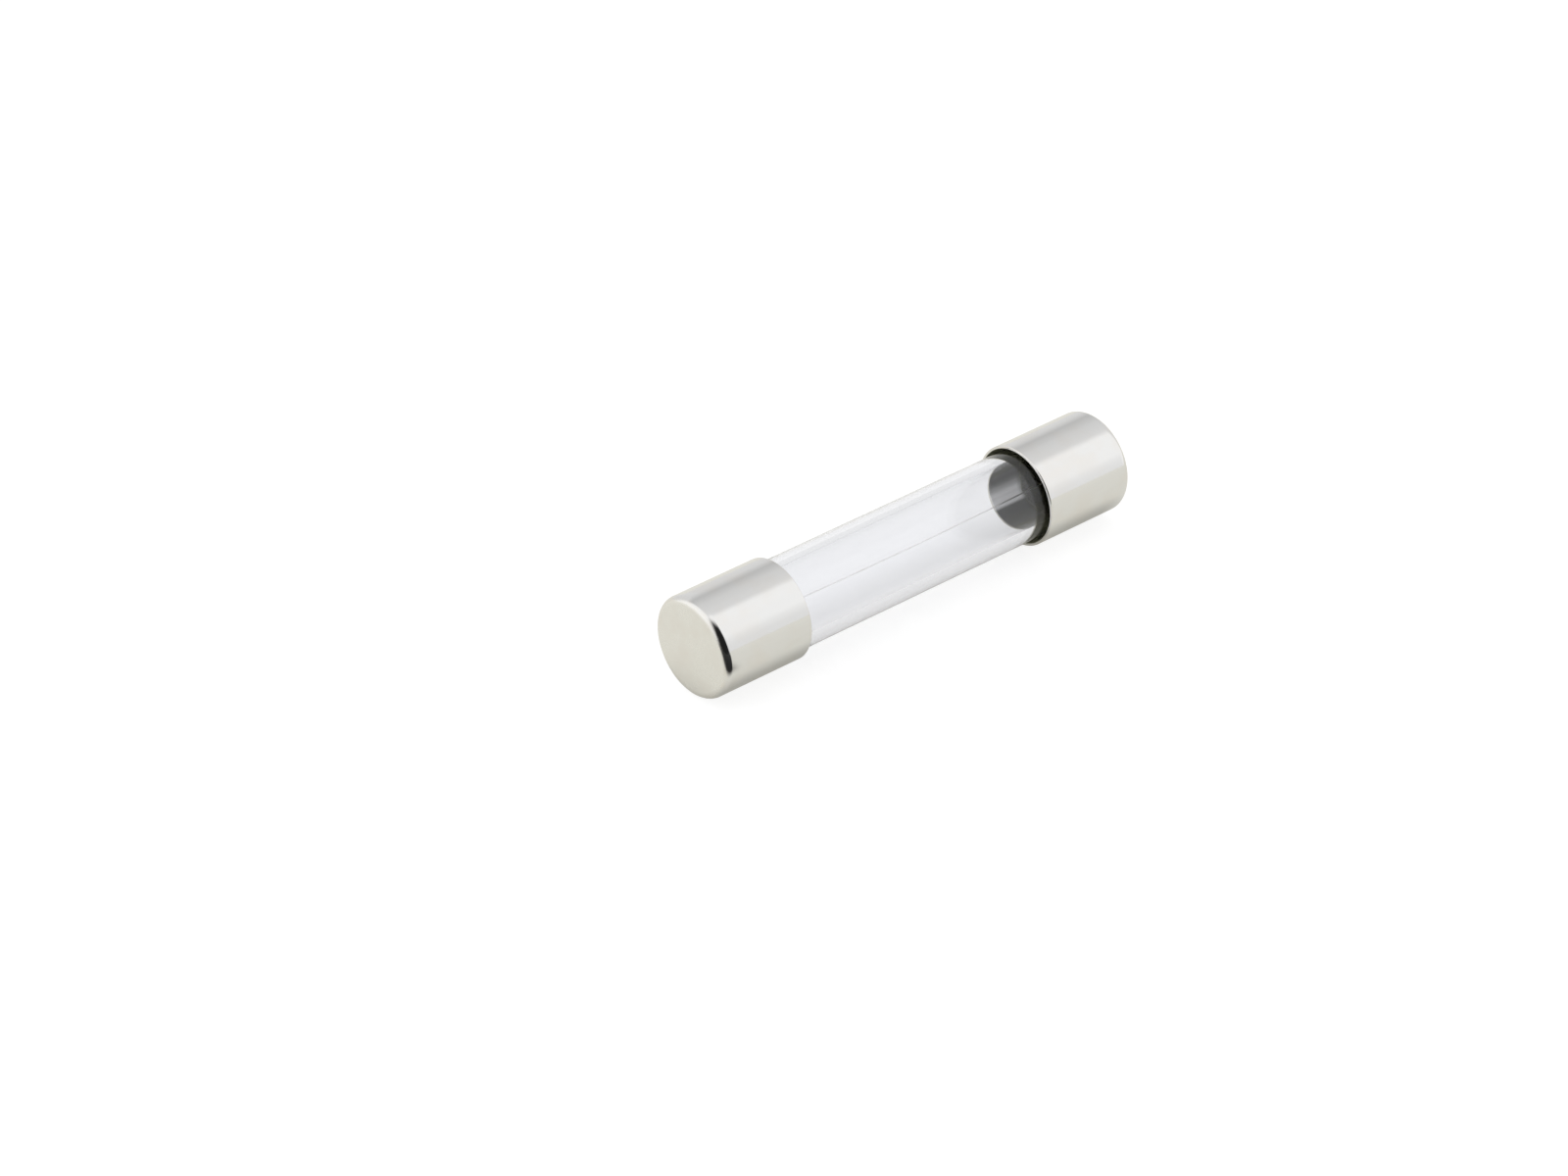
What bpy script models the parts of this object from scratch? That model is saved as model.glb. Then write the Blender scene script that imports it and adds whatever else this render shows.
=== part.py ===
"""Glass cartridge fuse, 6.35 x 31.8 mm, as an assembly of its separate pieces.

Run with:  blender --background --python part.py

The fuse lies along world X with its middle at the origin. Every piece is turned about that
axis, so each one is drawn in the local frame of an empty whose Z is the fuse's axis.
"""

import math

import bpy

MM = 0.001

# Driving dimensions of the whole fuse
FUSE_LENGTH = 31.8 * MM
CAP_DIAMETER = 6.35 * MM
CAP_LENGTH = 6.5 * MM
GLASS_DIAMETER = 5.6 * MM
GLASS_WALL = 0.7 * MM
WIRE_DIAMETER = 0.08 * MM

# Drawn metal cap
CAP_WALL = 0.20 * MM
CAP_FLOOR = 0.35 * MM
CAP_CORNER = 0.50 * MM
CAP_INNER_CORNER = 0.30 * MM
CAP_MOUTH_ROUND = 0.06 * MM

# Glass tube, fire-polished at both ends
GLASS_EDGE_ROUND = 0.15 * MM

# Solder in the closed end of each cap
SOLDER_FLANGE = 0.30 * MM
SOLDER_WALL_HEIGHT = 0.45 * MM
SOLDER_CROWN_HEIGHT = 0.80 * MM
SOLDER_COLLAR_HEIGHT = 0.35 * MM
SOLDER_COLLAR_REACH = 0.35 * MM

# Sleeve of cement between each cap and the glass, set well inside the cap's mouth
CEMENT_LENGTH = 3.00 * MM
CEMENT_RECESS = 2.10 * MM
CEMENT_EDGE_ROUND = 0.05 * MM

# Fuse wire
WIRE_END_GAP = 0.20 * MM
WIRE_BOW = 0.15 * MM
WIRE_POINTS = 41

# Room left between pieces that touch on the real fuse
FIT_GAP = 0.015 * MM

# Facets round the axis. Half a facet of turn puts a flat exactly underneath.
ROUND_STEPS = 48
HALF_FACET = math.pi / ROUND_STEPS
MERGE_DISTANCE = 0.0005 * MM

CAP_BORE_RADIUS = CAP_DIAMETER / 2 - CAP_WALL
GLASS_RADIUS = GLASS_DIAMETER / 2
GLASS_BORE_RADIUS = GLASS_RADIUS - GLASS_WALL
GLASS_LENGTH = FUSE_LENGTH - 2 * (CAP_FLOOR + SOLDER_FLANGE + 2 * FIT_GAP)

# name: (base colour, metallic, roughness)
FINISHES = {
    "nickel_plate": ((0.78, 0.76, 0.72, 1.0), 1.0, 0.22),
    "clear_glass": ((0.93, 0.96, 0.96, 0.35), 0.0, 0.03),
    "tin_solder": ((0.62, 0.62, 0.61, 1.0), 1.0, 0.38),
    "cement": ((0.10, 0.10, 0.06, 1.0), 0.0, 0.60),
    "fuse_wire": ((0.72, 0.70, 0.67, 1.0), 1.0, 0.25),
}


def clear_scene():
    for obj in list(bpy.data.objects):
        bpy.data.objects.remove(obj, do_unlink=True)


def make_collection(name):
    collection = bpy.data.collections.new(name)
    bpy.context.scene.collection.children.link(collection)
    return collection


def make_finishes():
    finishes = {}
    for name, (colour, metallic, roughness) in FINISHES.items():
        material = bpy.data.materials.new(name)
        material.use_nodes = True
        shader = material.node_tree.nodes["Principled BSDF"]
        shader.inputs["Base Color"].default_value = colour
        shader.inputs["Metallic"].default_value = metallic
        shader.inputs["Roughness"].default_value = roughness
        material.diffuse_color = colour
        finishes[name] = material
    return finishes


def arc(centre_r, centre_z, radius, start_deg, end_deg, steps):
    """Points (r, z) along an arc. Angles are measured from +r towards +z."""
    points = []
    for i in range(steps + 1):
        angle = math.radians(start_deg + (end_deg - start_deg) * i / steps)
        points.append((centre_r + radius * math.cos(angle), centre_z + radius * math.sin(angle)))
    return points


def profile_mesh(name, points, closed):
    """A profile of (r, z) points, ready for a Screw modifier about Z.

    It stands half a facet round from +X, and radii are stretched so that the turned shape
    measures its true size across the flats.
    """
    stretch = 1 / math.cos(HALF_FACET)
    verts = []
    for r, z in points:
        reach = r * stretch
        verts.append((reach * math.cos(HALF_FACET), reach * math.sin(HALF_FACET), z))
    edges = [(i, i + 1) for i in range(len(verts) - 1)]
    if closed:
        edges.append((len(verts) - 1, 0))
    mesh = bpy.data.meshes.new(name)
    mesh.from_pydata(verts, edges, [])
    return mesh


def add_turned(name, mesh, finish, parent, collection):
    """An object that spins the profile mesh once round its own Z axis."""
    obj = bpy.data.objects.new(name, mesh)
    if not mesh.materials:
        mesh.materials.append(finish)
    screw = obj.modifiers.new("turn", "SCREW")
    screw.axis = "Z"
    screw.angle = 2 * math.pi
    screw.steps = ROUND_STEPS
    screw.render_steps = ROUND_STEPS
    screw.use_merge_vertices = True
    screw.merge_threshold = MERGE_DISTANCE
    screw.use_smooth_shade = True
    obj.parent = parent
    collection.objects.link(obj)
    return obj


def cap_profile():
    """Drawn cup with its floor at z = 0 and its mouth at z = CAP_LENGTH."""
    outer = CAP_DIAMETER / 2
    inner = CAP_BORE_RADIUS
    points = [(0.0, CAP_FLOOR)]
    points += arc(inner - CAP_INNER_CORNER, CAP_FLOOR + CAP_INNER_CORNER, CAP_INNER_CORNER, -90, 0, 3)
    rim_z = CAP_LENGTH - CAP_MOUTH_ROUND
    points += arc(inner + CAP_MOUTH_ROUND, rim_z, CAP_MOUTH_ROUND, 180, 90, 2)
    points += arc(outer - CAP_MOUTH_ROUND, rim_z, CAP_MOUTH_ROUND, 90, 0, 2)
    points += arc(outer - CAP_CORNER, CAP_CORNER, CAP_CORNER, 0, -90, 6)
    points.append((0.0, 0.0))
    return points


def glass_profile():
    """Tube with rounded ends, centred on z = 0."""
    half = GLASS_LENGTH / 2
    edge = GLASS_EDGE_ROUND
    points = arc(GLASS_BORE_RADIUS + edge, half - edge, edge, 180, 90, 3)
    points += arc(GLASS_RADIUS - edge, half - edge, edge, 90, 0, 3)
    points += arc(GLASS_RADIUS - edge, edge - half, edge, 0, -90, 3)
    points += arc(GLASS_BORE_RADIUS + edge, edge - half, edge, -90, -180, 3)
    return points


def solder_profile():
    """Pool on the cap's floor: a flange under the glass and a crown in the bore.

    The crown rises towards the middle and climbs the wire in a small collar. The hole along
    the axis is where the wire is held.
    """
    hole = WIRE_DIAMETER / 2 + FIT_GAP
    flange_r = CAP_BORE_RADIUS - CAP_INNER_CORNER
    crown_r = GLASS_BORE_RADIUS - FIT_GAP
    low = CAP_FLOOR + FIT_GAP
    shelf = low + SOLDER_FLANGE
    points = []
    crown_steps = 9
    for i in range(crown_steps + 1):
        share = (i / crown_steps) ** 1.6
        r = hole + (crown_r - hole) * share
        dome = SOLDER_WALL_HEIGHT + (SOLDER_CROWN_HEIGHT - SOLDER_WALL_HEIGHT) * (1 - share**2)
        collar = SOLDER_COLLAR_HEIGHT * math.exp(-(r - hole) / (SOLDER_COLLAR_REACH / 2))
        points.append((r, shelf + dome + collar))
    points.append((crown_r, shelf))
    points.append((flange_r, shelf))
    points.append((flange_r, low))
    points.append((hole, low))
    return points


def cement_profile():
    """Sleeve that fills the gap round the glass, from CEMENT_RECESS inside the mouth."""
    inner = GLASS_RADIUS + FIT_GAP
    outer = CAP_BORE_RADIUS - FIT_GAP
    top = CAP_LENGTH - CEMENT_RECESS
    bottom = top - CEMENT_LENGTH
    edge = CEMENT_EDGE_ROUND
    points = [(inner, bottom)]
    points += arc(inner + edge, top - edge, edge, 180, 90, 2)
    points += arc(outer - edge, top - edge, edge, 90, 0, 2)
    points.append((outer, bottom))
    return points


def add_wire(finish, parent, collection):
    """Fuse wire from one solder pool to the other, bowing slightly towards the floor."""
    reach = FUSE_LENGTH / 2 - CAP_FLOOR - WIRE_END_GAP
    soldered = SOLDER_FLANGE + SOLDER_CROWN_HEIGHT + SOLDER_COLLAR_HEIGHT
    free = reach - soldered
    curve = bpy.data.curves.new("fuse_wire", "CURVE")
    curve.dimensions = "3D"
    curve.bevel_depth = WIRE_DIAMETER / 2
    curve.bevel_resolution = 2
    curve.use_fill_caps = True
    spline = curve.splines.new("POLY")
    spline.points.add(WIRE_POINTS - 1)
    for i, point in enumerate(spline.points):
        z = reach * (2 * i / (WIRE_POINTS - 1) - 1)
        span = min(1.0, abs(z) / free)
        bow = WIRE_BOW * (1 - span * span) ** 2
        point.co = (bow, 0.0, z, 1.0)
    curve.materials.append(finish)
    obj = bpy.data.objects.new("fuse_wire", curve)
    obj.parent = parent
    collection.objects.link(obj)
    return obj


def add_end(side, meshes, finishes, parent, collection):
    """The pieces at one end: the cap, its solder and its cement."""
    pieces = (
        ("end_cap", "nickel_plate"),
        ("solder", "tin_solder"),
        ("cement_ring", "cement"),
    )
    for piece, finish in pieces:
        obj = add_turned(f"{piece}_{side}", meshes[piece], finishes[finish], parent, collection)
        if side == "left":
            obj.location.z = -FUSE_LENGTH / 2
        else:
            obj.location.z = FUSE_LENGTH / 2
            obj.rotation_euler.x = math.pi


def build():
    clear_scene()
    collection = make_collection("cartridge_fuse")
    finishes = make_finishes()

    axis = bpy.data.objects.new("fuse_axis", None)
    axis.rotation_euler.y = math.pi / 2
    collection.objects.link(axis)

    tube = profile_mesh("glass_tube", glass_profile(), closed=True)
    add_turned("glass_tube", tube, finishes["clear_glass"], axis, collection)
    add_wire(finishes["fuse_wire"], axis, collection)

    meshes = {
        "end_cap": profile_mesh("end_cap", cap_profile(), closed=False),
        "solder": profile_mesh("solder", solder_profile(), closed=True),
        "cement_ring": profile_mesh("cement_ring", cement_profile(), closed=True),
    }
    for side in ("left", "right"):
        add_end(side, meshes, finishes, axis, collection)


build()
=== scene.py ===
# Glass cartridge fuse: finished pieces, materials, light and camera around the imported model
import math

import bpy
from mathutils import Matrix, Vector


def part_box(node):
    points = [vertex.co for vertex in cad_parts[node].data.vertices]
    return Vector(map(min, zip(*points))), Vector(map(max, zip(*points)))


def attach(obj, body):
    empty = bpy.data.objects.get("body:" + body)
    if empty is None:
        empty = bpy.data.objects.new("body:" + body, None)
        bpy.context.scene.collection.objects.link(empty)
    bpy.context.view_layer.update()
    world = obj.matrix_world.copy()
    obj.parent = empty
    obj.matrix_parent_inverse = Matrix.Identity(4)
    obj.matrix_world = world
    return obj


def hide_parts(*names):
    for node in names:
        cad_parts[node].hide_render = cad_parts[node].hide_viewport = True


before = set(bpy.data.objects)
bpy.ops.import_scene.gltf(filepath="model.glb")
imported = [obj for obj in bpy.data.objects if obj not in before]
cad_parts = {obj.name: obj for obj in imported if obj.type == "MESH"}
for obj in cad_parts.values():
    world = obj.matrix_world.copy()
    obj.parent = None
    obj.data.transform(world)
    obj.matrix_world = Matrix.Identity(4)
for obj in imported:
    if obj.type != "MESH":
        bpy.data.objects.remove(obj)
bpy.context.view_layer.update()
print("frame loaded:", ", ".join(sorted(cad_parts)))

mm = 0.001
micron = 0.000001


def addNode(tree, kind, **settings):
    node = tree.nodes.new(kind)
    for key, value in settings.items():
        setattr(node, key, value)
    return node


def feed(tree, target, source):
    # a socket is linked, anything else becomes the input's own value
    if isinstance(source, bpy.types.NodeSocket):
        tree.links.new(source, target)
    elif target.type == "RGBA":
        target.default_value = (*source[:3], 1.0)
    else:
        target.default_value = source


def addMath(tree, operation, *sources):
    node = addNode(tree, "ShaderNodeMath", operation=operation)
    for target, source in zip(node.inputs, sources):
        feed(tree, target, source)
    return node.outputs[0]


def sumOf(tree, *sources):
    total = sources[0]
    for source in sources[1:]:
        total = addMath(tree, "ADD", total, source)
    return total


def productOf(tree, *sources):
    total = sources[0]
    for source in sources[1:]:
        total = addMath(tree, "MULTIPLY", total, source)
    return total


def radiusOf(tree, y, z):
    return addMath(tree, "SQRT", sumOf(tree, productOf(tree, y, y), productOf(tree, z, z)))


def alongWay(tree, y, z, way):
    # how far a place lies along a direction across the fuse
    return sumOf(tree, productOf(tree, y, way[0]), productOf(tree, z, way[1]))


def scaleVector(tree, vector, factor):
    node = addNode(tree, "ShaderNodeVectorMath", operation="SCALE")
    feed(tree, node.inputs[0], vector)
    feed(tree, node.inputs["Scale"], factor)
    return node.outputs["Vector"]


def joinXyz(tree, x, y, z):
    node = addNode(tree, "ShaderNodeCombineXYZ")
    for target, source in zip(node.inputs, (x, y, z)):
        feed(tree, target, source)
    return node.outputs[0]


def splitXyz(tree, vector):
    node = addNode(tree, "ShaderNodeSeparateXYZ")
    feed(tree, node.inputs[0], vector)
    return node.outputs


def ease(tree, value, low, high, fromValue=0.0, toValue=1.0):
    # soft step: fromValue at low, toValue at high
    node = addNode(tree, "ShaderNodeMapRange", interpolation_type="SMOOTHSTEP")
    for target, source in zip(node.inputs[:5], (value, low, high, fromValue, toValue)):
        feed(tree, target, source)
    return node.outputs[0]


def blendColour(tree, share, first, second):
    node = addNode(tree, "ShaderNodeMix", data_type="RGBA")
    for place, source in ((0, share), (6, first), (7, second)):
        feed(tree, node.inputs[place], source)
    return node.outputs[2]


def blendValue(tree, share, first, second):
    node = addNode(tree, "ShaderNodeMix", data_type="FLOAT")
    for place, source in ((0, share), (2, first), (3, second)):
        feed(tree, node.inputs[place], source)
    return node.outputs[0]


# sizes read from the frame, and the few that its boxes don't show

capLow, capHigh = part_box("end_cap_left")
glassLow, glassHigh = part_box("glass_tube")
solderLow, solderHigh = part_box("solder_left")
cementLow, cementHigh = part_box("cement_ring_left")
wireLow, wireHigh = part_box("fuse_wire")

fuse = {
    "half": -capLow.x,
    "capRadius": capHigh.y,
    "capLength": capHigh.x - capLow.x,
    "capWall": 0.20 * mm,
    "capFloor": 0.35 * mm,
    "glassRadius": glassHigh.y,
    "glassWall": 0.70 * mm,
}
mouthPlace = fuse["half"] - fuse["capLength"]
boreRadius = fuse["capRadius"] - fuse["capWall"]
glassBore = fuse["glassRadius"] - fuse["glassWall"]


# shape trees

def newShapeTree(treeName, inputs):
    # inputs: label -> starting value; whole numbers become integer sockets
    tree = bpy.data.node_groups.new(treeName, "GeometryNodeTree")
    tree.interface.new_socket("Geometry", in_out="OUTPUT", socket_type="NodeSocketGeometry")
    for label, value in inputs.items():
        kind = "NodeSocketInt" if isinstance(value, int) else "NodeSocketFloat"
        socket = tree.interface.new_socket(label, in_out="INPUT", socket_type=kind)
        socket.default_value = value
    tree.interface.new_socket("Finish", in_out="INPUT", socket_type="NodeSocketMaterial")
    return tree, addNode(tree, "NodeGroupInput").outputs


def endShapeTree(tree, shape, finish):
    smooth = addNode(tree, "GeometryNodeSetShadeSmooth")
    real = addNode(tree, "GeometryNodeRealizeInstances")
    coat = addNode(tree, "GeometryNodeSetMaterial")
    out = addNode(tree, "NodeGroupOutput")
    feed(tree, smooth.inputs["Geometry"], shape)
    feed(tree, real.inputs["Geometry"], smooth.outputs["Geometry"])
    feed(tree, coat.inputs["Geometry"], real.outputs["Geometry"])
    feed(tree, coat.inputs["Material"], finish)
    feed(tree, out.inputs["Geometry"], coat.outputs["Geometry"])


def pickByIndex(tree, kind, index, values):
    node = addNode(tree, "GeometryNodeIndexSwitch", data_type=kind)
    while len(node.index_switch_items) < len(values):
        node.index_switch_items.new()
    feed(tree, node.inputs["Index"], index)
    for place, value in enumerate(values):
        feed(tree, node.inputs[1 + place], value)
    return node.outputs[0]


def moveAlong(tree, shape, offset, place=None):
    node = addNode(tree, "GeometryNodeSetPosition")
    feed(tree, node.inputs["Geometry"], shape)
    if place is not None:
        feed(tree, node.inputs["Position"], place)
    if offset is not None:
        feed(tree, node.inputs["Offset"], offset)
    return node.outputs["Geometry"]


def weldPoints(tree, shape):
    node = addNode(tree, "GeometryNodeMergeByDistance")
    feed(tree, node.inputs["Geometry"], shape)
    node.inputs["Distance"].default_value = 0.1 * micron
    return node.outputs["Geometry"]


def seededNoise(tree, vector, seed, size, detail=1.0):
    node = addNode(tree, "ShaderNodeTexNoise", noise_dimensions="4D")
    feed(tree, node.inputs["Vector"], vector)
    feed(tree, node.inputs["W"], seed)
    feed(tree, node.inputs["Scale"], addMath(tree, "DIVIDE", 1.0, size))
    node.inputs["Detail"].default_value = detail
    return node.outputs


def turnedTree(treeName, inputs, corners):
    # corners: (place along the axis, radius, rounding), each the label of an input or None for 0
    shared = {"Segments": 64, "Round Steps": 6, "Cuts": 3, "Waviness": 0.0, "Wave Size": 4 * mm,
              "Wave Stretch": 1.0, "Ragged": 0.0, "Ragged Size": 1 * mm, "Ragged From": 0.0,
              "Seed": 0, "Shift": 0.0, "Half Turns": 0.0}
    tree, given = newShapeTree(treeName, {**inputs, **shared})
    index = addNode(tree, "GeometryNodeInputIndex").outputs[0]

    # outline: one point a corner, then the corners are rounded
    pick = {label: given[label] if label else 0.0 for corner in corners for label in corner}
    places = [joinXyz(tree, pick[along], pick[radius], 0.0) for along, radius, rounding in corners]
    rounds = [pick[rounding] for along, radius, rounding in corners]
    line = addNode(tree, "GeometryNodeMeshLine")
    line.inputs["Count"].default_value = len(corners)
    spread = moveAlong(tree, line.outputs["Mesh"], None, pickByIndex(tree, "VECTOR", index, places))
    curve = addNode(tree, "GeometryNodeMeshToCurve")
    feed(tree, curve.inputs["Mesh"], spread)
    fillet = addNode(tree, "GeometryNodeFilletCurve", mode="POLY")
    feed(tree, fillet.inputs["Curve"], curve.outputs["Curve"])
    feed(tree, fillet.inputs["Count"], given["Round Steps"])
    feed(tree, fillet.inputs["Radius"], pickByIndex(tree, "FLOAT", index, rounds))
    split = addNode(tree, "GeometryNodeSubdivideCurve")
    feed(tree, split.inputs["Curve"], fillet.outputs["Curve"])
    feed(tree, split.inputs["Cuts"], given["Cuts"])
    outline = split.outputs["Curve"]

    # grid with one row for each point of the outline, wrapped round the axis
    size = addNode(tree, "GeometryNodeAttributeDomainSize", component="CURVE")
    feed(tree, size.inputs["Geometry"], outline)
    columns = addMath(tree, "ADD", given["Segments"], 1.0)
    grid = addNode(tree, "GeometryNodeMeshGrid")
    feed(tree, grid.inputs["Vertices X"], size.outputs["Point Count"])
    feed(tree, grid.inputs["Vertices Y"], columns)
    row = addMath(tree, "FLOOR", addMath(tree, "DIVIDE", addMath(tree, "ADD", index, 0.5), columns))
    column = addMath(tree, "SUBTRACT", index, productOf(tree, row, columns))
    turn = productOf(tree, addMath(tree, "DIVIDE", column, given["Segments"]), 2 * math.pi)
    sample = addNode(tree, "GeometryNodeSampleIndex", data_type="FLOAT_VECTOR", domain="POINT")
    feed(tree, sample.inputs["Geometry"], outline)
    feed(tree, sample.inputs["Value"], addNode(tree, "GeometryNodeInputPosition").outputs[0])
    feed(tree, sample.inputs["Index"], row)
    along, radius, unused = splitXyz(tree, sample.outputs["Value"])
    across = productOf(tree, radius, addMath(tree, "COSINE", turn))
    height = productOf(tree, radius, addMath(tree, "SINE", turn))
    shape = moveAlong(tree, grid.outputs["Mesh"], None, joinXyz(tree, along, across, height))
    shape = weldPoints(tree, shape)

    # slow waviness, always into the wall, so that nothing stands past the true size
    x, y, z = splitXyz(tree, addNode(tree, "GeometryNodeInputPosition").outputs[0])
    stretched = joinXyz(tree, addMath(tree, "DIVIDE", x, given["Wave Stretch"]), y, z)
    wave = seededNoise(tree, stretched, given["Seed"], given["Wave Size"])[0]
    depth = productOf(tree, wave, given["Waviness"], -1.0)
    normal = addNode(tree, "GeometryNodeInputNormal").outputs[0]
    shape = moveAlong(tree, shape, scaleVector(tree, normal, depth))

    # ragged end: the stretch past "Ragged From" falls back by an uneven amount
    ragged = seededNoise(tree, joinXyz(tree, 0.0, y, z), given["Seed"], given["Ragged Size"], 3.0)[0]
    past = addMath(tree, "GREATER_THAN", x, given["Ragged From"])
    fall = productOf(tree, ragged, past, given["Ragged"])
    shape = moveAlong(tree, shape, joinXyz(tree, productOf(tree, fall, -1.0), 0.0, 0.0))

    move = addNode(tree, "GeometryNodeTransform")
    feed(tree, move.inputs["Geometry"], shape)
    feed(tree, move.inputs["Translation"], joinXyz(tree, given["Shift"], 0.0, 0.0))
    halfTurn = productOf(tree, given["Half Turns"], math.pi)
    feed(tree, move.inputs["Rotation"], joinXyz(tree, 0.0, 0.0, halfTurn))
    endShapeTree(tree, move.outputs["Geometry"], given["Finish"])
    return tree


def wireTree(treeName, inputs):
    tree, given = newShapeTree(treeName, inputs)
    start = joinXyz(tree, productOf(tree, given["Half Length"], -1.0), 0.0, 0.0)
    line = addNode(tree, "GeometryNodeCurvePrimitiveLine")
    feed(tree, line.inputs["Start"], start)
    feed(tree, line.inputs["End"], joinXyz(tree, given["Half Length"], 0.0, 0.0))
    fine = addNode(tree, "GeometryNodeResampleCurve")
    feed(tree, fine.inputs["Curve"], line.outputs["Curve"])
    feed(tree, fine.inputs["Count"], given["Points"])

    # the free stretch bows down and wanders a little, the soldered ends stay on the axis
    position = addNode(tree, "GeometryNodeInputPosition").outputs[0]
    along = addMath(tree, "ABSOLUTE", splitXyz(tree, position)[0])
    share = addMath(tree, "MINIMUM", addMath(tree, "DIVIDE", along, given["Free Half Length"]), 1.0)
    flat = addMath(tree, "SUBTRACT", 1.0, productOf(tree, share, share))
    bow = productOf(tree, flat, flat, given["Bow"])
    noise = splitXyz(tree, seededNoise(tree, position, given["Seed"], given["Wander Size"])[1])
    reach = productOf(tree, flat, given["Wander"])
    stray = [productOf(tree, addMath(tree, "SUBTRACT", noise[way], 0.5), reach) for way in (1, 2)]
    down = addMath(tree, "SUBTRACT", stray[1], bow)
    path = moveAlong(tree, fine.outputs["Curve"], joinXyz(tree, 0.0, stray[0], down))

    ring = addNode(tree, "GeometryNodeCurvePrimitiveCircle")
    feed(tree, ring.inputs["Radius"], given["Radius"])
    feed(tree, ring.inputs["Resolution"], given["Sides"])
    tube = addNode(tree, "GeometryNodeCurveToMesh")
    feed(tree, tube.inputs["Curve"], path)
    feed(tree, tube.inputs["Profile Curve"], ring.outputs["Curve"])
    tube.inputs["Fill Caps"].default_value = True
    endShapeTree(tree, weldPoints(tree, tube.outputs["Mesh"]), given["Finish"])
    return tree


def makePiece(pieceName, tree, values, finish, nodeName):
    # run the tree once, keep its plain mesh, and let the piece stand for its CAD node
    piece = bpy.data.objects.new(pieceName, bpy.data.meshes.new(pieceName))
    bpy.context.scene.collection.objects.link(piece)
    shaper = piece.modifiers.new("shape", "NODES")
    shaper.node_group = tree
    sockets = {item.name: item.identifier for item in tree.interface.items_tree
               if item.item_type == "SOCKET" and item.in_out == "INPUT"}
    for label, value in values.items():
        shaper[sockets[label]] = value
    shaper[sockets["Finish"]] = finish
    bpy.context.view_layer.update()
    seen = piece.evaluated_get(bpy.context.evaluated_depsgraph_get())
    mesh = bpy.data.meshes.new_from_object(seen)
    mesh.name = pieceName
    piece.modifiers.clear()
    piece.data = mesh
    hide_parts(nodeName)
    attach(piece, "root")
    print(f"{pieceName}: {len(mesh.polygons)} faces, stands for {nodeName}")
    return piece


# effects shared by several materials

def newEffect(effectName, inputs, *outputs):
    # every effect reads a place on the piece and gives masks or values from 0 to 1
    tree = bpy.data.node_groups.new(effectName, "ShaderNodeTree")
    tree.interface.new_socket("Place", in_out="INPUT", socket_type="NodeSocketVector")
    for label, value in inputs.items():
        socket = tree.interface.new_socket(label, in_out="INPUT", socket_type="NodeSocketFloat")
        socket.default_value = value
    for label in outputs:
        tree.interface.new_socket(label, in_out="OUTPUT", socket_type="NodeSocketFloat")
    given = addNode(tree, "NodeGroupInput").outputs
    return tree, given, addNode(tree, "NodeGroupOutput").inputs


def makeDrawLines():
    # fine lines along the fuse, as drawing through a die or a bushing leaves them
    inputs = {"Width": 0.1 * mm, "Length": 8 * mm, "Seed": 0.0}
    tree, given, out = newEffect("drawLines", inputs, "Lines")
    x, y, z = splitXyz(tree, given["Place"])
    squeezed = addMath(tree, "DIVIDE", productOf(tree, x, given["Width"]), given["Length"])
    noise = seededNoise(tree, joinXyz(tree, squeezed, y, z), given["Seed"], given["Width"], 2.0)[0]
    feed(tree, out["Lines"], ease(tree, noise, 0.25, 0.75))
    return tree


def makePatches():
    # soft uneven patches, such as handling marks and dull spots
    inputs = {"Size": 2 * mm, "Low": 0.4, "High": 0.65, "Seed": 0.0}
    tree, given, out = newEffect("patches", inputs, "Mask")
    noise = seededNoise(tree, given["Place"], given["Seed"], given["Size"], 4.0)[0]
    feed(tree, out["Mask"], ease(tree, noise, given["Low"], given["High"]))
    return tree


def makeSpecks():
    # scattered dots: pits in plating, dust and seeds in glass, grains in cement
    inputs = {"Spacing": 0.4 * mm, "Dot Size": 0.1, "Share": 0.5, "Seed": 0.0}
    tree, given, out = newEffect("specks", inputs, "Mask", "Shade")
    cells = addNode(tree, "ShaderNodeTexVoronoi", voronoi_dimensions="4D")
    feed(tree, cells.inputs["Vector"], given["Place"])
    feed(tree, cells.inputs["W"], given["Seed"])
    feed(tree, cells.inputs["Scale"], addMath(tree, "DIVIDE", 1.0, given["Spacing"]))
    dot = ease(tree, cells.outputs["Distance"], given["Dot Size"], 0.0)
    chance, shade, unused = splitXyz(tree, cells.outputs["Color"])
    chosen = addMath(tree, "LESS_THAN", chance, given["Share"])
    feed(tree, out["Mask"], productOf(tree, dot, chosen))
    feed(tree, out["Shade"], shade)
    return tree


def makeRingWear():
    # uneven wear round the ring-shaped edges at the same place on both ends
    inputs = {"Edge Radius": 3 * mm, "Edge Place": 15 * mm, "Reach": 0.4 * mm, "Size": 0.5 * mm,
              "Seed": 0.0}
    tree, given, out = newEffect("ringWear", inputs, "Mask")
    x, y, z = splitXyz(tree, given["Place"])
    radius = radiusOf(tree, y, z)
    over = addMath(tree, "SUBTRACT", radius, given["Edge Radius"])
    past = addMath(tree, "SUBTRACT", addMath(tree, "ABSOLUTE", x), given["Edge Place"])
    near = ease(tree, radiusOf(tree, over, past), given["Reach"], 0.0)
    noise = seededNoise(tree, given["Place"], given["Seed"], given["Size"], 3.0)[0]
    feed(tree, out["Mask"], productOf(tree, near, ease(tree, noise, 0.3, 0.7)))
    return tree


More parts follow.
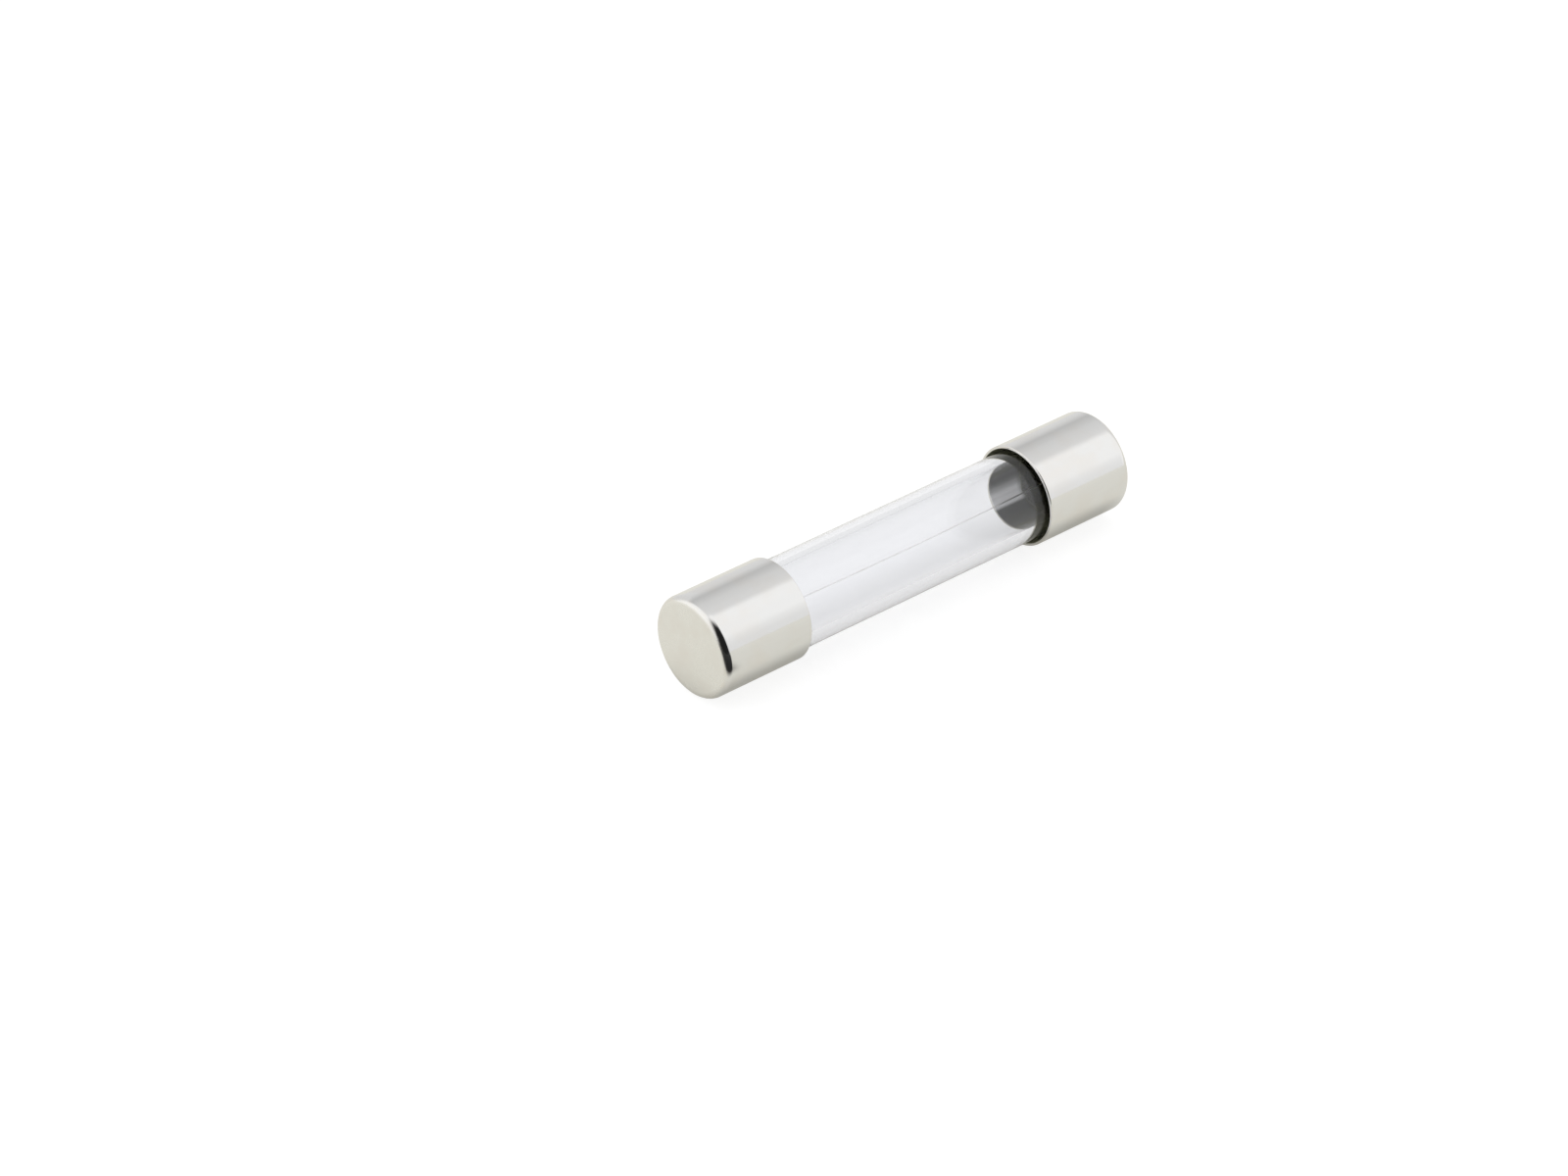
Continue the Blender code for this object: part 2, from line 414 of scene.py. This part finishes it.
def makeRings():
    # faint concentric marks on a flat end, a little off centre
    inputs = {"Spacing": 0.25 * mm, "Seed": 0.0}
    tree, given, out = newEffect("rings", inputs, "Marks")
    x, y, z = splitXyz(tree, given["Place"])
    radius = radiusOf(tree, addMath(tree, "ADD", y, 0.1 * mm), z)
    noise = seededNoise(tree, joinXyz(tree, radius, 0.0, x), given["Seed"], given["Spacing"], 2.0)[0]
    feed(tree, out["Marks"], ease(tree, noise, 0.3, 0.7))
    return tree


effects = {
    "drawLines": makeDrawLines(),
    "patches": makePatches(),
    "specks": makeSpecks(),
    "ringWear": makeRingWear(),
    "rings": makeRings(),
}
print("effects built:", ", ".join(effects))


def useEffect(tree, effectName, place, **values):
    # values are named as the effect's inputs without the space: dotSize sets Dot Size
    node = addNode(tree, "ShaderNodeGroup", node_tree=effects[effectName])
    feed(tree, node.inputs["Place"], place)
    labels = {label.replace(" ", "").lower(): label for label in node.inputs.keys()}
    for key, value in values.items():
        feed(tree, node.inputs[labels[key.lower()]], value)
    return node.outputs


def newMaterial(materialName, **settings):
    material = bpy.data.materials.new(materialName)
    material.use_nodes = True
    tree = material.node_tree
    shader = tree.nodes["Principled BSDF"]
    for label, value in settings.items():
        feed(tree, shader.inputs[label.replace("_", " ")], value)
    return material, tree, shader, addNode(tree, "ShaderNodeTexCoord").outputs["Object"]


def addRelief(tree, shader, height, strength=1.0):
    # height is in microns
    bump = addNode(tree, "ShaderNodeBump")
    bump.inputs["Strength"].default_value = strength
    bump.inputs["Distance"].default_value = micron
    feed(tree, bump.inputs["Height"], height)
    feed(tree, shader.inputs["Normal"], bump.outputs["Normal"])


def boreBand(tree, place, depth, finish):
    # painted shade and a painted reflection: a dark olive bore, paler grey on one side, where a bright
    # painted band runs inwards
    x, y, z = splitXyz(tree, place)
    streaks = useEffect(tree, "drawLines", place, width=0.25 * mm, length=20 * mm, seed=6.0)["Lines"]
    paleShade = productOf(tree, ease(tree, alongWay(tree, y, z, finish["paleShadeWay"]), *finish["paleShadeSide"]),
                      ease(tree, depth, *finish["paleShadeDepth"]))
    across = alongWay(tree, y, z, finish["bandWay"])
    band = productOf(tree, ease(tree, across, *finish["bandLow"]), ease(tree, across, *finish["bandHigh"]))
    return paleShade, productOf(tree, paleShade, band, ease(tree, streaks, 1.0, 0.2, 0.7, 1.0))


def nickelPlate(finish):
    material, tree, shader, place = newMaterial("nickelPlate", Emission_Strength=1.0)
    material.cycles.emission_sampling = "NONE"  # the faint glow isn't sampled as a lamp
    x, y, z = splitXyz(tree, place)
    radius = radiusOf(tree, y, z)
    depth = addMath(tree, "ABSOLUTE", x)
    onEnd = ease(tree, depth, *finish["endDepth"])
    inside = productOf(tree, ease(tree, radius, *finish["insideRadius"]),
                       ease(tree, depth, *finish["insideDepth"]))
    # painted shade in the bore, with a painted reflection running inwards along it
    paleShade, paintedReflection = boreBand(tree, place, depth, finish)

    lines = useEffect(tree, "drawLines", place, width=0.09 * mm, length=9 * mm, seed=1.0)["Lines"]
    bands = useEffect(tree, "drawLines", place, width=0.55 * mm, length=14 * mm, seed=2.0)["Lines"]
    dull = useEffect(tree, "patches", place, size=1.6 * mm, low=0.42, high=0.68, seed=3.0)["Mask"]
    grain = useEffect(tree, "patches", place, size=0.06 * mm, low=0.3, high=0.7, seed=4.0)["Mask"]
    pits = useEffect(tree, "specks", place, spacing=0.35 * mm, dotSize=0.09, share=0.25, seed=5.0)["Mask"]
    corner = useEffect(tree, "ringWear", place, edgeRadius=fuse["capRadius"] - 0.14 * mm,
                       edgePlace=fuse["half"] - 0.14 * mm, reach=0.3 * mm, size=0.3 * mm, seed=6.0)["Mask"]
    mouth = useEffect(tree, "ringWear", place, edgeRadius=fuse["capRadius"] - 0.1 * mm,
                      edgePlace=mouthPlace, reach=0.25 * mm, size=0.2 * mm, seed=7.0)["Mask"]
    marks = useEffect(tree, "rings", place, spacing=0.3 * mm, seed=8.0)["Marks"]

    colour = blendColour(tree, dull, finish["bright"], finish["warm"])
    colour = blendColour(tree, productOf(tree, bands, finish["coolShare"]), colour, finish["cool"])
    colour = blendColour(tree, onEnd, colour, blendColour(tree, dull, finish["end"], finish["endWarm"]))
    # bore colour: olive and grey painted shade, with the bright painted reflection laid over it
    bore = blendColour(tree, paleShade, finish["boreOliveShade"], finish["boreGreyShade"])
    colour = blendColour(tree, inside, colour, blendColour(tree, paintedReflection, bore, finish["bore"]))
    worn = addMath(tree, "MAXIMUM", productOf(tree, corner, finish["cornerWear"]),
                   productOf(tree, mouth, finish["mouthWear"]))
    colour = blendColour(tree, worn, colour, finish["brass"])
    colour = blendColour(tree, productOf(tree, pits, finish["pitShare"]), colour, finish["pit"])
    feed(tree, shader.inputs["Base Color"], colour)

    rough = sumOf(tree, finish["polish"], productOf(tree, lines, finish["lineRough"]),
                  productOf(tree, dull, finish["dullRough"]), productOf(tree, worn, finish["wornRough"]))
    endRough = sumOf(tree, finish["endPolish"], productOf(tree, grain, finish["endGrainRough"]),
                     productOf(tree, dull, finish["endDullRough"]))
    rough = blendValue(tree, onEnd, rough, endRough)
    rough = blendValue(tree, inside, rough, finish["borePolish"])
    feed(tree, shader.inputs["Roughness"], rough)
    feed(tree, shader.inputs["Metallic"], blendValue(tree, inside, 1.0, finish["boreMetal"]))
    # painted glow: the bore's painted reflection also gives off a faint light, though it is no lamp
    glow = productOf(tree, inside, paintedReflection, finish["boreGlow"])
    feed(tree, shader.inputs["Emission Color"], joinXyz(tree, glow, glow, glow))

    barrel = sumOf(tree, productOf(tree, lines, finish["lineRelief"]),
                   productOf(tree, bands, finish["bandRelief"]))
    flat = sumOf(tree, productOf(tree, grain, finish["grainRelief"]),
                 productOf(tree, marks, finish["markRelief"]))
    height = sumOf(tree, blendValue(tree, onEnd, barrel, flat), productOf(tree, pits, finish["pitRelief"]))
    addRelief(tree, shader, height)
    return material


def clearGlass(finish):
    material, tree, shader, place = newMaterial("clearGlass", Metallic=0.0, Transmission_Weight=1.0,
                                                IOR=1.5)
    fine = useEffect(tree, "drawLines", place, width=0.14 * mm, length=30 * mm, seed=11.0)["Lines"]
    broad = useEffect(tree, "drawLines", place, width=0.8 * mm, length=60 * mm, seed=12.0)["Lines"]
    dust = useEffect(tree, "specks", place, spacing=0.7 * mm, dotSize=0.035, share=0.3, seed=13.0)["Mask"]
    haze = useEffect(tree, "patches", place, size=3 * mm, low=0.5, high=0.75, seed=14.0)["Mask"]
    colour = blendColour(tree, broad, finish["clear"], finish["streak"])
    colour = blendColour(tree, productOf(tree, dust, finish["dustShare"]), colour, finish["dust"])
    feed(tree, shader.inputs["Base Color"], colour)
    rough = sumOf(tree, productOf(tree, haze, finish["haze"]), productOf(tree, dust, finish["dustRough"]))
    feed(tree, shader.inputs["Roughness"], rough)
    addRelief(tree, shader, sumOf(tree, productOf(tree, fine, finish["fineRelief"]),
                                  productOf(tree, broad, finish["broadRelief"])))
    return material


def tinSolder(finish):
    material, tree, shader, place = newMaterial("tinSolder", Metallic=1.0)
    dull = useEffect(tree, "patches", place, size=0.5 * mm, low=0.4, high=0.65, seed=21.0)["Mask"]
    grain = useEffect(tree, "specks", place, spacing=0.09 * mm, dotSize=0.8, share=1.0, seed=22.0)
    flux = useEffect(tree, "patches", place, size=0.9 * mm, low=0.55, high=0.75, seed=23.0)["Mask"]
    colour = blendColour(tree, grain["Shade"], finish["bright"], finish["grey"])
    colour = blendColour(tree, flux, colour, finish["flux"])
    feed(tree, shader.inputs["Base Color"], colour)
    rough = sumOf(tree, finish["polish"], productOf(tree, dull, finish["dullRough"]),
                  productOf(tree, grain["Mask"], finish["grainRough"]))
    feed(tree, shader.inputs["Roughness"], rough)
    addRelief(tree, shader, sumOf(tree, productOf(tree, grain["Mask"], finish["grainRelief"]),
                                  productOf(tree, dull, finish["dullRelief"])))
    return material


def oliveCement(finish):
    material, tree, shader, place = newMaterial("oliveCement", Metallic=0.0)
    grain = useEffect(tree, "specks", place, spacing=0.07 * mm, dotSize=0.9, share=1.0, seed=31.0)
    lumps = useEffect(tree, "patches", place, size=0.35 * mm, low=0.35, high=0.7, seed=32.0)["Mask"]
    colour = blendColour(tree, grain["Shade"], finish["dark"], finish["light"])
    colour = blendColour(tree, productOf(tree, lumps, finish["lumpShare"]), colour, finish["lump"])
    feed(tree, shader.inputs["Base Color"], colour)
    rough = sumOf(tree, finish["polish"], productOf(tree, grain["Shade"], finish["grainRough"]))
    feed(tree, shader.inputs["Roughness"], rough)
    addRelief(tree, shader, sumOf(tree, productOf(tree, grain["Mask"], finish["grainRelief"]),
                                  productOf(tree, lumps, finish["lumpRelief"])))
    return material


def fuseWire(finish):
    material, tree, shader, place = newMaterial("fuseWire", Metallic=1.0)
    lines = useEffect(tree, "drawLines", place, width=0.008 * mm, length=1.5 * mm, seed=41.0)["Lines"]
    tarnish = useEffect(tree, "patches", place, size=1.2 * mm, low=0.45, high=0.7, seed=42.0)["Mask"]
    feed(tree, shader.inputs["Base Color"], blendColour(tree, tarnish, finish["bright"], finish["tarnish"]))
    rough = sumOf(tree, finish["polish"], productOf(tree, lines, finish["lineRough"]),
                  productOf(tree, tarnish, finish["tarnishRough"]))
    feed(tree, shader.inputs["Roughness"], rough)
    addRelief(tree, shader, productOf(tree, lines, finish["lineRelief"]))
    return material


# end caps: drawn cups, nickel plated

capSizes = {
    "Radius": fuse["capRadius"],
    "Bore": boreRadius,
    "Length": fuse["capLength"],
    "Floor": fuse["capFloor"],
    "Corner": 0.50 * mm,
    "Shoulder": 0.53 * mm,
    "Flat": fuse["capRadius"] - 0.53 * mm,
    "Inner Corner": 0.30 * mm,
    "Mouth Round": 0.06 * mm,
    "Mouth Inside": fuse["capLength"] - 0.09 * mm,
    "Segments": 256,
    "Round Steps": 10,
    "Cuts": 2,
    "Waviness": 0.006 * mm,
    "Wave Size": 4 * mm,
    "Wave Stretch": 4.0,
}
capOutline = [
    ("Floor", None, None),
    ("Floor", "Bore", "Inner Corner"),
    ("Mouth Inside", "Bore", None),
    ("Length", "Bore", "Mouth Round"),
    ("Length", "Radius", "Mouth Round"),
    ("Mouth Inside", "Radius", None),
    ("Shoulder", "Radius", None),
    (None, "Radius", "Corner"),
    (None, "Flat", None),
    (None, None, None),
]
nickelFinish = {
    "bright": (0.755, 0.75, 0.735),
    "warm": (0.75, 0.73, 0.70),
    "cool": (0.72, 0.72, 0.715),
    "end": (0.81, 0.80, 0.765),
    "endWarm": (0.795, 0.775, 0.735),
    # the bore colours are painted: a bright painted reflection, then grey and olive painted shade
    "bore": (0.95, 0.95, 0.94),
    "boreGreyShade": (0.26, 0.26, 0.26),
    "boreOliveShade": (0.17, 0.17, 0.10),
    "brass": (0.78, 0.62, 0.38),
    "pit": (0.30, 0.28, 0.25),
    "polish": 0.08,
    "endPolish": 0.26,
    "borePolish": 0.9,
    "boreMetal": 0.1,
    # glow of the bore's painted reflection
    "boreGlow": 0.24,
    "coolShare": 0.35,
    "pitShare": 0.5,
    "cornerWear": 0.10,
    "mouthWear": 0.12,
    "lineRough": 0.03,
    "dullRough": 0.04,
    "wornRough": 0.2,
    "endGrainRough": 0.06,
    "endDullRough": 0.06,
    "lineRelief": 0.12,
    "bandRelief": 1.2,
    "grainRelief": 0.25,
    "markRelief": 0.3,
    "pitRelief": -2.0,
    "endDepth": (fuse["half"] - 0.22 * mm, fuse["half"] - 0.02 * mm),
    "insideRadius": (boreRadius + 0.06 * mm, boreRadius + 0.02 * mm),
    "insideDepth": (fuse["half"] - 0.66 * mm, fuse["half"] - 0.76 * mm),
    # where the bore's painted shade turns paler, and where its painted reflection runs
    "paleShadeWay": (0.75, -0.66),
    "paleShadeSide": (1.7 * mm, 2.4 * mm),
    "paleShadeDepth": (mouthPlace + 2.6 * mm, mouthPlace + 2.0 * mm),
    "bandWay": (0.66, 0.75),
    "bandLow": (-0.5 * mm, -0.15 * mm),
    "bandHigh": (1.8 * mm, 0.6 * mm),
}
nickel = nickelPlate(nickelFinish)


def labelled(sizes, outline):
    # the sizes that the outline names, as the tree's own inputs
    used = {label for corner in outline for label in corner if label}
    return {label: value for label, value in sizes.items() if label in used}


capTree = turnedTree("turnedCap", labelled(capSizes, capOutline), capOutline)
for side, halfTurns, shift in (("Left", 0.0, -fuse["half"]), ("Right", 1.0, fuse["half"])):
    values = {**capSizes, "Shift": shift, "Half Turns": halfTurns, "Seed": 3 + int(halfTurns)}
    makePiece("cap" + side, capTree, values, nickel, "end_cap_" + side.lower())


# glass tube: drawn glass, ends melted round

glassSizes = {
    "Radius": fuse["glassRadius"],
    "Bore": glassBore,
    "Left End": glassLow.x,
    "Right End": glassHigh.x,
    "Edge Round": 0.15 * mm,
    "Segments": 256,
    "Round Steps": 6,
    "Cuts": 3,
}
glassOutline = [
    (None, "Bore", None),
    ("Right End", "Bore", "Edge Round"),
    ("Right End", "Radius", "Edge Round"),
    ("Left End", "Radius", "Edge Round"),
    ("Left End", "Bore", "Edge Round"),
    (None, "Bore", None),
]
glassFinish = {
    "clear": (0.962, 0.965, 0.978),
    "streak": (0.95, 0.954, 0.968),
    "dust": (0.80, 0.80, 0.80),
    "haze": 0.02,
    "dustShare": 0.5,
    "dustRough": 0.3,
    "fineRelief": 0.02,
    "broadRelief": 0.5,
}
glassTree = turnedTree("turnedTube", labelled(glassSizes, glassOutline), glassOutline)
makePiece("glassTube", glassTree, glassSizes, clearGlass(glassFinish), "glass_tube")


# fuse wire: one fine drawn wire from pool to pool

wireSoldered = 1.45 * mm  # held in the solder at each end
wireSizes = {
    "Radius": (wireHigh.y - wireLow.y) / 2,
    "Half Length": wireHigh.x,
    "Free Half Length": wireHigh.x - wireSoldered,
    "Bow": 0.15 * mm,
    "Wander": 0.08 * mm,
    "Wander Size": 5 * mm,
    "Points": 160,
    "Sides": 12,
    "Seed": 4,
}
wireFinish = {
    "bright": (0.98, 0.975, 0.965),
    "tarnish": (0.90, 0.88, 0.84),
    "polish": 0.3,
    "lineRough": 0.12,
    "tarnishRough": 0.1,
    "lineRelief": 0.3,
}
softWire = wireTree("softWire", wireSizes)
makePiece("fuseWire", softWire, wireSizes, fuseWire(wireFinish), "fuse_wire")


# solder: a pool on each cap's floor that climbs the wire

solderSizes = {
    "Bottom": 0.0,
    "Shelf": 0.30 * mm,
    "Wall Top": 0.75 * mm,
    "Crown Top": 1.0 * mm,
    "Collar Top": 1.45 * mm,
    "Flange": solderHigh.y,
    "Crown": glassBore - 0.02 * mm,
    "Collar Foot": 0.3 * mm,
    "Collar": 0.09 * mm,
    "Edge": 0.05 * mm,
    "Sweep": 0.2 * mm,
    "Segments": 96,
    "Round Steps": 8,
    "Cuts": 3,
    "Waviness": 0.05 * mm,
    "Wave Size": 1.2 * mm,
}
solderOutline = [
    ("Bottom", None, None),
    ("Bottom", "Flange", "Edge"),
    ("Shelf", "Flange", "Edge"),
    ("Shelf", "Crown", None),
    ("Wall Top", "Crown", None),
    ("Crown Top", "Collar Foot", "Sweep"),
    ("Collar Top", "Collar", "Edge"),
    ("Collar Top", None, None),
]
solderFinish = {
    "bright": (0.62, 0.62, 0.61),
    "grey": (0.50, 0.50, 0.50),
    "flux": (0.38, 0.30, 0.18),
    "polish": 0.28,
    "dullRough": 0.25,
    "grainRough": 0.08,
    "grainRelief": 3.0,
    "dullRelief": 6.0,
}
solder = tinSolder(solderFinish)
solderTree = turnedTree("solderPool", labelled(solderSizes, solderOutline), solderOutline)
for side, halfTurns, shift in (("Left", 0.0, solderLow.x), ("Right", 1.0, -solderLow.x)):
    values = {**solderSizes, "Shift": shift, "Half Turns": halfTurns, "Seed": 2 + 5 * int(halfTurns)}
    makePiece("solder" + side, solderTree, values, solder, "solder_" + side.lower())


# cement: dark filler round the glass, set inside each mouth

cementSizes = {
    "Inner": fuse["glassRadius"] + 0.015 * mm,
    "Outer": cementHigh.y,
    "Deep": 0.0,
    "Top": cementHigh.x - cementLow.x,
    "Edge": 0.04 * mm,
    "Segments": 192,
    "Round Steps": 4,
    "Cuts": 6,
    "Ragged": 0.5 * mm,
    "Ragged Size": 0.9 * mm,
    "Ragged From": 2.0 * mm,
}
cementOutline = [
    ("Deep", "Inner", None),
    ("Top", "Inner", "Edge"),
    ("Top", "Outer", "Edge"),
    ("Deep", "Outer", None),
    ("Deep", "Inner", None),
]
cementFinish = {
    "dark": (0.10, 0.10, 0.06),
    "light": (0.28, 0.27, 0.17),
    "lump": (0.16, 0.155, 0.10),
    "lumpShare": 0.5,
    "polish": 0.45,
    "grainRough": 0.25,
    "grainRelief": 8.0,
    "lumpRelief": 15.0,
}
cement = oliveCement(cementFinish)
cementTree = turnedTree("cementSleeve", labelled(cementSizes, cementOutline), cementOutline)
for side, halfTurns, shift in (("Left", 0.0, cementLow.x), ("Right", 1.0, -cementLow.x)):
    values = {**cementSizes, "Shift": shift, "Half Turns": halfTurns, "Seed": 1 + int(halfTurns)}
    makePiece("cement" + side, cementTree, values, cement, "cement_ring_" + side.lower())
print("pieces made")


# floor: pale paper with its own brightness for the camera, for rays through glass and for reflections

floorSizes = {
    "side": 2.0,
    "paper": (0.30, 0.30, 0.30),
    "fibre": (0.27, 0.27, 0.27),
    "glow": 1.0,
    "seen": (0.84, 0.84, 0.84),
    "through": (0.70, 0.70, 0.70),
    "reflected": (0.63, 0.62, 0.56),
    # painted shade under the fuse, seen in the floor's reflections
    "contactShade": (0.34, 0.335, 0.30),
    "contactShadeWide": (5 * mm, 2 * mm),
    "contactShadeLong": (18 * mm, 15 * mm),
    # painted shade: a dark patch on the floor, seen only in reflections, where the caps show a dark
    # crescent
    "paintedDark": (0.004, 0.004, 0.004),
    "paintedDarkSlant": 0.45,
    "paintedDarkSide": (-14.6 * mm, -16 * mm),
    "paintedDarkFront": (-5 * mm, -7.5 * mm),
}


def palePaper(finish):
    material, tree, shader, place = newMaterial("palePaper", Metallic=0.0, Roughness=0.9,
                                                Emission_Strength=finish["glow"])
    fibres = useEffect(tree, "patches", place, size=1.5 * mm, low=0.3, high=0.8, seed=51.0)["Mask"]
    x, y, z = splitXyz(tree, place)
    rays = addNode(tree, "ShaderNodeLightPath").outputs
    direct = addMath(tree, "MAXIMUM", rays["Is Camera Ray"], rays["Is Transmission Ray"])
    mirrored = addMath(tree, "SUBTRACT", 1.0, direct)
    # painted shade: reflections darken under the fuse, and show a painted dark patch that lies before its
    # left end
    under = productOf(tree, ease(tree, addMath(tree, "ABSOLUTE", y), *finish["contactShadeWide"]),
                      ease(tree, addMath(tree, "ABSOLUTE", x), *finish["contactShadeLong"]))
    # painted shade: a dark patch on the floor before the fuse's left end, seen only in reflections
    slanted = addMath(tree, "MULTIPLY_ADD", y, finish["paintedDarkSlant"], x)
    paintedDark = productOf(tree, ease(tree, slanted, *finish["paintedDarkSide"]), ease(tree, y, *finish["paintedDarkFront"]),
                     mirrored)
    sheet = blendColour(tree, fibres, finish["paper"], finish["fibre"])
    feed(tree, shader.inputs["Base Color"], blendColour(tree, paintedDark, sheet, finish["paintedDark"]))
    light = blendColour(tree, under, finish["reflected"], finish["contactShade"])
    light = blendColour(tree, paintedDark, light, finish["paintedDark"])
    light = blendColour(tree, rays["Is Transmission Ray"], light, finish["through"])
    light = blendColour(tree, rays["Is Camera Ray"], light, finish["seen"])
    feed(tree, shader.inputs["Emission Color"], light)
    return material


half = floorSizes["side"] / 2
floorMesh = bpy.data.meshes.new("floor")
floorMesh.from_pydata([(-half, -half, capLow.z), (half, -half, capLow.z), (half, half, capLow.z),
                       (-half, half, capLow.z)], [], [(0, 1, 2, 3)])
floorMesh.materials.append(palePaper(floorSizes))
floor = bpy.data.objects.new("floor", floorMesh)
bpy.context.scene.collection.objects.link(floor)


# soft studio light all round, by direction across the fuse, with a dark patch on the camera's side

studio = {
    "strength": 1.2,
    "tint": (0.99, 0.993, 1.0),
    "stops": ((0.09, 0.80), (0.15, 0.96), (0.415, 0.96), (0.49, 0.75), (0.69, 0.68), (0.83, 0.54),
              (0.895, 0.72)),
    "leftWall": 0.98,
    "leftEdge": (-0.25, -0.60),
    "cameraShade": 0.015,
    "cameraFront": (0.0, -0.42),
    "cameraSide": (0.52, 0.26),
    "cameraSlant": 0.3,
    "cameraTop": (1.0, 0.80),
}


def lightStudio(values):
    world = bpy.data.worlds.new("studio")
    bpy.context.scene.world = world
    world.use_nodes = True
    tree = world.node_tree
    sky = tree.nodes["Background"]
    direction = addNode(tree, "ShaderNodeTexCoord").outputs["Generated"]
    x, y, z = splitXyz(tree, direction)
    ramp = addNode(tree, "ShaderNodeValToRGB")
    elements = ramp.color_ramp.elements
    while len(elements) < len(values["stops"]):
        elements.new(0.5)
    for element, (place, shade) in zip(elements, values["stops"]):
        element.position = place
        element.color = (*[shade * part for part in values["tint"]], 1.0)
    feed(tree, ramp.inputs["Fac"], addMath(tree, "MULTIPLY_ADD", y, 0.5, 0.5))
    left = ease(tree, x, *values["leftEdge"])
    wall = [values["leftWall"] * part for part in values["tint"]]
    light = blendColour(tree, left, ramp.outputs["Color"], wall)
    front = ease(tree, y, *values["cameraFront"])
    slanted = addMath(tree, "MULTIPLY_ADD", z, values["cameraSlant"], x)
    side = ease(tree, slanted, *values["cameraSide"])
    top = ease(tree, z, *values["cameraTop"])
    dark = productOf(tree, front, side, top)
    shade = (values["cameraShade"],) * 3
    feed(tree, sky.inputs["Color"], blendColour(tree, dark, light, shade))
    sky.inputs["Strength"].default_value = values["strength"]


lightStudio(studio)

cameraSet = {
    "azimuth": -40.96,
    "elevation": 32.68,
    "distance": 326.8 * mm,
    "lens": 128.3,
    "aimRight": -6.635 * mm,
    "aimUp": -2.131 * mm,
}
azimuth, elevation = math.radians(cameraSet["azimuth"]), math.radians(cameraSet["elevation"])
back = Vector((math.sin(azimuth) * math.cos(elevation), -math.cos(azimuth) * math.cos(elevation),
               math.sin(elevation)))
right = Vector((math.cos(azimuth), math.sin(azimuth), 0.0))
up = back.cross(right)
camera = bpy.data.objects.new("camera", bpy.data.cameras.new("camera"))
camera.data.lens = cameraSet["lens"]
camera.data.clip_start = 10 * mm
camera.location = right * cameraSet["aimRight"] + up * cameraSet["aimUp"] + back * cameraSet["distance"]
camera.rotation_mode = "QUATERNION"
camera.rotation_quaternion = (-back).to_track_quat("-Z", "Y")
bpy.context.scene.collection.objects.link(camera)
bpy.context.scene.camera = camera
bpy.context.scene.view_settings.view_transform = "Standard"
print("floor, light and camera set")
